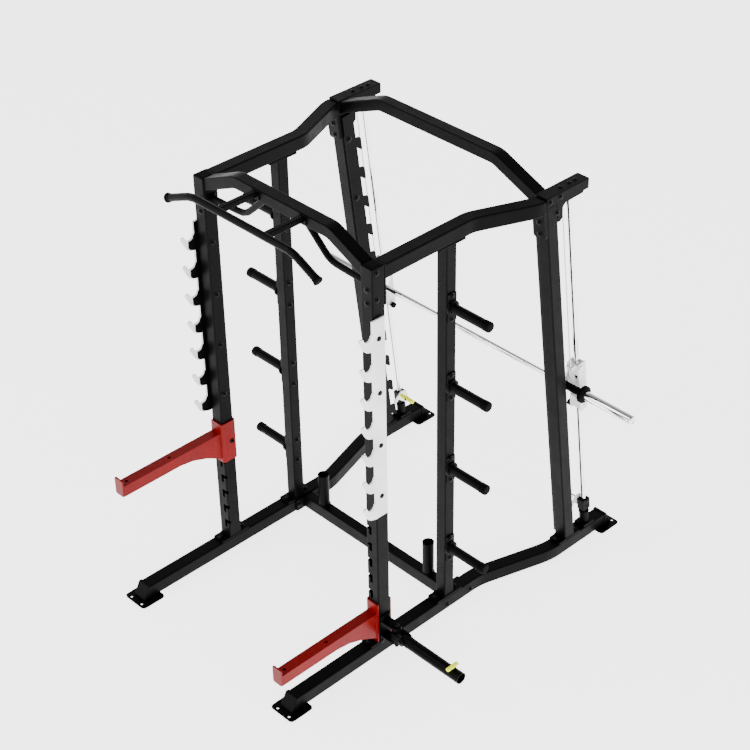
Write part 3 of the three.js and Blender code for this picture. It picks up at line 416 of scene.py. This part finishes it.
def base_details(name, side):
    bolts = Shape()
    welds = Shape()
    out = X_AXIS * side
    rear_y = up_y(FLANGE_TOP, UPRIGHT_V)
    for x, y, reach, width, depth in ((FRONT_X, FRONT_Y, 72, TUBE, TUBE), (FRONT_X, MID_Y, 64, 64, 64),
                                      (REAR_X, rear_y, 62, TUBE, 71)):
        for step in (-reach, reach):
            bolts.bolt((side * x, y + step, FLANGE_TOP), Z_AXIS, 10)
        welds.weld(tube_foot(side * x, y, FLANGE_TOP + 1, width, depth), Z_AXIS)
    for y in (-26, 143):
        bolts.bolt((side * (FRONT_X + TUBE / 2), y, 30), out, 9)
    welds.ring((side * HOLDER_X, HOLDER_Y, RAIL_TOP + 1), Z_AXIS, 29, 35, 6, 2.5)
    bolts.finish(f"base_bolts_{name}", ZINC_BLACK)
    welds.finish(f"base_welds_{name}", BLACK, edge=0)
    liner = Shape()
    liner.turned((side * HOLDER_X, HOLDER_Y, 232), Z_AXIS,
                 [(0, 24.5), (0, 25.8), (49.2, 25.8), (49.6, 31.2), (52, 31.2), (52.6, 30), (52.6, 25.5),
                  (51, 24.5)], 32, closed=True)
    liner.finish(f"bar_holder_liner_{name}", RUBBER)


def cross_member_flanges():
    """End plates that bolt the cross-member between the rails."""
    plates = Shape()
    bolts = Shape()
    for _, side in SIDES:
        near, far = sorted((side * (RAIL_INNER - 8.5), side * (RAIL_INNER - 0.3)))
        plates.slab(rectangle(-48, 132, 8, 80, 8), near, far)
        for y in (-32, 116):
            bolts.bolt((side * (RAIL_INNER - 8.5), y, 44), X_AXIS * -side, 8)
    plates.finish("cross_member_flanges", BLACK, edge=0.8)
    bolts.finish("cross_member_bolts", ZINC_BLACK)


# ---------------------------------------------------------------- top frame
HEADER_TOP = 2253


def top_bolts(name, side):
    shape = Shape()
    out = X_AXIS * side
    tongue = Shape(LEANING)
    for s in (2164, 2098):
        tongue.bolt((side * REAR_X, UPRIGHT_V - 55.3, s), -Y_AXIS, 9.5)
    tongue.finish(f"tongue_bolts_{name}", ZINC_BLACK)
    for y, z in ((498, 2226), (568, 2230), (549, 2152)):
        for face, axis in ((REAR_X + TUBE / 2, out), (REAR_X - TUBE / 2, -out)):
            if y > 510 or axis is out:
                shape.bolt((side * face, y, z), axis, 8.5)
    for y in (604, 664, 708):
        shape.button((side * REAR_X, y, HEADER_TOP), Z_AXIS, 11)
    for y in (MID_Y - 62, MID_Y + 62):
        shape.bolt((side * FRONT_X, y, 2161.7), -Z_AXIS, 9)
    shape.finish(f"top_bolts_{name}", ZINC_BLACK)


def upright_cap(name, side):
    """Pressed-in plastic covers on the tops of the front uprights."""
    shape = Shape()
    x = side * FRONT_X
    shape.slab(rectangle(x - 35, x + 35, FRONT_Y - 35, FRONT_Y + 35, 6), FRAME_TOP - 2, FRAME_TOP + 2.5, "Z")
    shape.slab(rectangle(x - 24, x + 24, FRONT_Y - 24, FRONT_Y + 24, 5), FRAME_TOP, FRAME_TOP + 4.0, "Z")
    shape.finish(f"upright_cap_{name}", RUBBER, edge=1.2)


# ---------------------------------------------------------------- pull-up bar and grips
PULL_Y, PULL_Z, STRUT_X = -726, 2322, 158


def pull_up_details():
    caps = Shape()
    for _, side in SIDES:
        start = Vector((side * 342, PULL_Y, PULL_Z))
        end = Vector((side * 508, PULL_Y - 6, 2251))
        along = (end - start).normalized()
        caps.turned(end - along * 20, along,
                    [(0, 19.2), (1, 20.4), (14, 20.4), (15, 23.5), (22, 24), (25, 21), (26, 12)], 28)
    caps.finish("pull_up_caps", RUBBER)
    bolts = Shape()
    for x in (-STRUT_X, STRUT_X):
        for dx in (-20.5, 20.5):
            bolts.bolt((x + dx, -508.5, PULL_Z - 4), -Y_AXIS, 3.4)
    bolts.finish("pull_up_bolts", ZINC_BLACK)


def grip_bolts(name, side):
    shape = Shape()
    for dx in (-18, 18):
        shape.bolt((side * 138 + dx, FRONT_Y + 18, 2278.7), -Z_AXIS, 6)
    for dz in (-19, 19):
        shape.bolt((side * 526.2, FRONT_Y + 22, 2130 + dz), X_AXIS * -side, 6)
    shape.finish(f"grip_bolts_{name}", ZINC_BLACK)


# ---------------------------------------------------------------- catch plates and guide rods
TOOTH_FIRST_S, TOOTH_PITCH, TOOTH_COUNT = 244, 180, 11


def catch_bolts(name, side):
    shape = Shape(LEANING)
    for i in range(0, TOOTH_COUNT, 2):
        shape.bolt((side * 649.2, UPRIGHT_V - 3, TOOTH_FIRST_S + i * TOOTH_PITCH + 16), X_AXIS * -side, 11)
    shape.finish(f"catch_bolts_{name}", ZINC_BLACK)


def rod_details(name, side):
    """A clamping collar on top of the rod's socket."""
    x = side * REAR_X
    collar = Shape(LEANING)
    collar.ring((x, 0, 162), Z_AXIS, 15.3, 28, 11, 1.5)
    collar.turned((x + side * 27, 0, 168), X_AXIS * side, [(0, 4.5), (5, 4.5), (5.6, 4)], 16)
    collar.finish(f"rod_collar_{name}", BLACK)


# ---------------------------------------------------------------- barbell and carriages
COLLAR_FROM, COLLAR_TO, BAR_HALF = 768, 792, 1100


def barbell():
    shaft = Shape(LEANING)
    shaft.turned((-COLLAR_TO, BAR_V, BAR_S), X_AXIS, [(0, 15), (2 * COLLAR_TO, 15)], 32)
    sleeve = BAR_HALF - COLLAR_TO + 2
    for _, side in SIDES:
        out = X_AXIS * side
        shaft.turned((side * (COLLAR_TO - 2), BAR_V, BAR_S), out,
                     [(0, 25), (sleeve - 10, 25), (sleeve - 6, 25), (sleeve - 2, 24), (sleeve, 21.5),
                      (sleeve, 17), (sleeve - 3, 16), (sleeve - 3, 8)], 40)
        shaft.turned((side * (BAR_HALF - 4), BAR_V, BAR_S), out, [(0, 7.5), (3, 7.5), (3.6, 6.8)], 6)
    shaft.finish("bar_shaft", CHROME, "barbell", replaces=("barbell",))
    collars = Shape(LEANING)
    for _, side in SIDES:
        out = X_AXIS * side
        collars.turned((side * COLLAR_FROM, BAR_V, BAR_S), out,
                       [(0, 15.2), (0, 40), (3, 45), (6, 46), (18, 46), (21, 45), (24, 40), (24, 30),
                        (26, 29), (26, 24.5), (10, 15.2)], 40, closed=True)
    collars.finish("bar_collars", RUBBER, "barbell", edge=0.8,
                   replaces=("bar_collar_left", "bar_collar_right"))


PLATE_INNER, PLATE_OUTER = 664, 732    # outward faces of a carriage's two side plates


def carriage_details(name, side):
    out = X_AXIS * side
    sleeve = Shape(LEANING)
    sleeve.turned((side * 660.8, BAR_V, BAR_S), out,
                  [(0, 15.8), (0, 19), (1.5, 20.8), (105, 20.8), (106.5, 19.5), (106.5, 15.8)],
                  36, closed=True)
    sleeve.finish(f"bar_bushing_{name}", RUBBER, "bar_carriage", edge=0.4)

    hardware = Shape(LEANING)
    for s in (BAR_S - 130, BAR_S - 86, BAR_S + 86):
        hardware.button((side * PLATE_OUTER, 4, s), out, 6)
        hardware.button((side * PLATE_INNER, 4, s), -out, 6)
    hardware.turned((side * PLATE_OUTER, -12, BAR_S + 124), out, [(0, 13), (5, 13), (7, 11), (7.6, 6)], 28)
    hardware.finish(f"carriage_bolts_{name}", STEEL, "bar_carriage")

    rings = Shape(LEANING)
    for centre in (BAR_S - 108, BAR_S + 108):
        for low, high in ((centre - 38, centre - 31), (centre + 31, centre + 38)):
            rings.ring((side * REAR_X, 0, low), Z_AXIS, 15.6, 23, high - low)
    rings.finish(f"rod_wipers_{name}", STEEL, "bar_carriage")

    knob = Shape(LEANING)
    knob.turned((side * (PLATE_INNER + 0.5), -8, BAR_S - 149), -out,
                [(0, 5), (6, 5), (7, 13), (10, 16), (26, 16), (29, 13)], 24)
    knob.finish(f"carriage_knob_{name}", RUBBER, "bar_carriage")

    eye = Shape(LEANING)
    top = BAR_S + 140
    eye.turned((side * REAR_X, BAR_V, top - 1), Z_AXIS,
               [(0, 8), (10, 8), (12, 6.5), (30, 6.5), (33, 4.2), (44, 3.6)], 20)
    eye.bolt((side * (REAR_X + 6), BAR_V, top + 20), out, 4.5)
    eye.finish(f"cable_clevis_{name}", STEEL, "bar_carriage")


# ---------------------------------------------------------------- cables
CABLE_R = 3
PULLEY_RUN = 27


def cables(name, side):
    """The outer run goes from the carriage up to the loop, and the inner run from the counterweight; both are
    built in place and attached to no body.

    The loop over the pulleys stays where it is.
    """
    x = side * REAR_X
    rear = (middle(f"pulley_rear_{name}") - ORIGIN) / MM
    front = (middle(f"pulley_front_{name}") - ORIGIN) / MM
    weight = in_lean(f"counterweight_{name}")
    to_straight = STRAIGHT.inverted() @ LEANING
    outer_foot = to_straight @ Vector((x, BAR_V, BAR_S + 178))
    weight_top = to_straight @ Vector((x, weight.y, weight.z + 190.4))

    loop = []
    for centre, first, last in ((rear, LEAN, math.pi / 2), (front, math.pi / 2, math.pi)):
        for k in range(9):
            turn = first + (last - first) * k / 8
            loop.append(centre + Vector((0, math.cos(turn), math.sin(turn))) * PULLEY_RUN)
    run = Shape()
    run.sweep(loop, (CABLE_R,), X_AXIS, 12)
    run.finish(f"cable_loop_{name}", STEEL, edge=0, replaces=(f"cable_{name}",))

    for part, foot, top, body in (("outer", outer_foot, loop[0], "bar_carriage"),
                                  ("inner", weight_top, loop[-1], f"counterweight_{name}")):
        strand = Shape()
        strand.sweep([foot.lerp(top, k / 12) for k in range(13)], (CABLE_R,), X_AXIS, 12)
        piece = strand.finish(f"cable_{part}_run_{name}", STEEL, body=None, edge=0)
        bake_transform(piece)


# ---------------------------------------------------------------- safety stops
LEVER_V, LEVER_S = 18, 198             # a lever's pivot
HANDLE_V, HANDLE_S = -18, LEVER_S + 50


def safety_lever(name, side):
    """A hooked plate with a crosswise handle; the left handle has the yellow grip."""
    body = f"safety_lever_{name}"
    turns = [-2.2 + 0.26 * k for k in range(11)]
    outline = [(LEVER_V + 20 * math.cos(t), LEVER_S + 20 * math.sin(t)) for t in turns]
    outline += [(22, LEVER_S + 64), (-14, LEVER_S + 74), (-70, LEVER_S + 42), (-72, LEVER_S + 18),
                (-60, LEVER_S + 16), (-40, LEVER_S + 32)]
    plate = Shape(LEANING)
    plate.slab(outline, *sorted((side * 664, side * 671)))
    plate.finish(f"lever_plate_{name}", WHITE, body, edge=1.0, replaces=(body,))
    handle = Shape(LEANING)
    handle.turned((side * 668, HANDLE_V, HANDLE_S), X_AXIS * -side,
                  [(0, 9), (2, 11.4), (94, 11.4), (98, 10.6), (101, 7.5), (101.8, 4)], 28)
    handle.finish(f"lever_grip_{name}", YELLOW if side < 0 else CHROME, body)
    screws = Shape(LEANING)
    screws.button((side * 649.5, LEVER_V, LEVER_S), X_AXIS * -side, 8.5)
    screws.button((side * 620, HANDLE_V - 10.6, HANDLE_S), -Y_AXIS, 7)
    screws.finish(f"lever_screws_{name}", ZINC_BLACK, body)


def safety_stop_bolts(name, side):
    shape = Shape(LEANING)
    for s in (204, 244):
        shape.button((side * 720, 8, s), X_AXIS * side, 7)
    shape.finish(f"stop_screws_{name}", ZINC_BLACK, f"safety_stop_{name}")


# ---------------------------------------------------------------- spotter arms
def spotter_details(name, side):
    """The locking pin's head on the bracket's inner cheek, and the weld at the root of the arm."""
    body = f"spotter_arm_{name}"
    bracket_top = (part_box(body)[1].z - ORIGIN.z) / MM
    arm_top = bracket_top - 58
    head = (side * (FRONT_X - TUBE / 2 - 8.3), FRONT_Y + 16, arm_top - 66)
    pin = Shape()
    pin.turned(head, X_AXIS * -side, [(-1, 15), (1.5, 15), (3, 13), (3.4, 9)], 28)
    pin.turned(head, X_AXIS * -side, [(3, 7), (11, 7), (12, 6)], 6)
    pin.finish(f"spotter_pin_{name}", ZINC_BLACK, body)
    welds = Shape()
    face = FRONT_Y - TUBE / 2 - 8.5
    corners = ((-30, -158), (30, -158), (30, 0), (-30, 0))
    welds.weld([(side * FRONT_X + dx, face, arm_top + dz) for dx, dz in corners], Y_AXIS, 3.0)
    welds.finish(f"spotter_welds_{name}", RED, body, edge=0)


# ---------------------------------------------------------------- landmine
SWIVEL_X, SWIVEL_Z, PIVOT_X, LEVER_X = 692, 174, 748, 1084


def landmine_details():
    bolts = Shape()
    for y in (FRONT_Y - 22, FRONT_Y + 22):
        for z in (96, 240):
            bolts.bolt((FRONT_X + TUBE / 2 + 7, y, z), X_AXIS, 7.5)
    bolts.finish("landmine_bracket_bolts", ZINC_BLACK)
    nuts = Shape()
    nuts.bolt((SWIVEL_X, FRONT_Y, SWIVEL_Z + 53), Z_AXIS, 12, nut=True)
    for s in (-1, 1):
        nuts.bolt((PIVOT_X, FRONT_Y + s * 31, SWIVEL_Z), Y_AXIS * s, 11)
    nuts.finish("landmine_pivot_nuts", ZINC_BLACK, "landmine_swivel")
    rim = Shape()
    rim.ring((PIVOT_X + 30, FRONT_Y, SWIVEL_Z), X_AXIS, 28, 32, 5, 1.8)
    rim.finish("landmine_rims", BLACK, "landmine_tube")


def landmine_lever():
    """A crosswise handle with a yellow grip on the clamp screw's hub."""
    hub = Shape()
    hub.turned((LEVER_X, FRONT_Y, SWIVEL_Z + 27), Z_AXIS,
               [(0, 5), (12, 5), (12.5, 11), (20, 11), (22, 9), (22.6, 5)], 28)
    hub.finish("lever_hub", ZINC_BLACK, "landmine_lever", replaces=("landmine_lever",))
    grip = Shape()
    grip.turned((LEVER_X, FRONT_Y - 46, SWIVEL_Z + 52), Y_AXIS,
                [(0, 4), (0.8, 8), (4, 10.4), (68, 10.4), (71.2, 8), (72, 4)], 28)
    grip.finish("landmine_lever_grip", YELLOW, "landmine_lever")


for label, sign in SIDES:
    hook_backing(label, sign)
    rack_bolts(label, sign)
    peg_details(label, sign)
    base_details(label, sign)
    top_bolts(label, sign)
    upright_cap(label, sign)
    grip_bolts(label, sign)
    catch_bolts(label, sign)
    rod_details(label, sign)
    carriage_details(label, sign)
    cables(label, sign)
    safety_lever(label, sign)
    safety_stop_bolts(label, sign)
    spotter_details(label, sign)
cross_member_flanges()
pull_up_details()
barbell()
landmine_details()
landmine_lever()


# ---------------------------------------------------------------- stage, light and camera
def floor():
    bpy.ops.mesh.primitive_plane_add(size=60, location=(0, 0, -0.0005))
    plane = bpy.context.object
    plane.name = "floor"
    made, shader = new_material("pale_floor", (0.93, 0.93, 0.93), 0.9, 0.0)
    shader.inputs["Specular IOR Level"].default_value = 0.1
    shader.inputs["Emission Color"].default_value = (1, 1, 1, 1)
    shader.inputs["Emission Strength"].default_value = 3.0
    plane.data.materials.append(made)


def softbox(name, place, size, power):
    light = bpy.data.lights.new(name, "AREA")
    light.energy = power
    light.size = size
    lamp = bpy.data.objects.new(name, light)
    bpy.context.scene.collection.objects.link(lamp)
    lamp.location = place
    lamp.rotation_euler = (Vector((0, 0, 1)) - lamp.location).to_track_quat("-Z", "Y").to_euler()


def sky():
    """Pale at the horizon and dimmer overhead, so that flat tops stay darker than upright faces."""
    world = bpy.data.worlds.new("studio")
    world.use_nodes = True
    tree = world.node_tree
    background = tree.nodes["Background"]
    background.inputs["Strength"].default_value = 2.2
    place = tree.nodes.new("ShaderNodeTexCoord")
    split = tree.nodes.new("ShaderNodeSeparateXYZ")
    fade = tree.nodes.new("ShaderNodeValToRGB")
    fade.color_ramp.elements[0].position = 0.15
    fade.color_ramp.elements[0].color = (1, 1, 1, 1)
    fade.color_ramp.elements[1].position = 0.75
    fade.color_ramp.elements[1].color = (0.16, 0.16, 0.16, 1)
    tree.links.new(place.outputs["Generated"], split.inputs["Vector"])
    tree.links.new(split.outputs["Z"], fade.inputs["Fac"])
    tree.links.new(fade.outputs["Color"], background.inputs["Color"])
    bpy.context.scene.world = world


def camera():
    azimuth, elevation, roll = math.radians(45.35), math.radians(35.27), math.radians(-0.25)
    target = Vector((-17, 367.5, 898.45)) * MM
    distance = 9.7645
    back = Vector((math.sin(azimuth) * math.cos(elevation), -math.cos(azimuth) * math.cos(elevation),
                   math.sin(elevation)))
    data = bpy.data.cameras.new("camera")
    data.sensor_width = 36
    data.lens = 90.86
    data.shift_x, data.shift_y = -0.0564, 0.0157
    data.clip_end = 100
    seen = bpy.data.objects.new("camera", data)
    bpy.context.scene.collection.objects.link(seen)
    seen.location = target + back * distance
    level = (-back).to_track_quat("-Z", "Y")
    seen.rotation_mode = "QUATERNION"
    seen.rotation_quaternion = level @ Matrix.Rotation(roll, 4, "Z").to_quaternion()
    bpy.context.scene.camera = seen


floor()
sky()
softbox("key", (-3.5, -5.0, 6.5), 4.0, 300)
softbox("fill", (6.0, -2.0, 4.0), 4.0, 200)
camera()
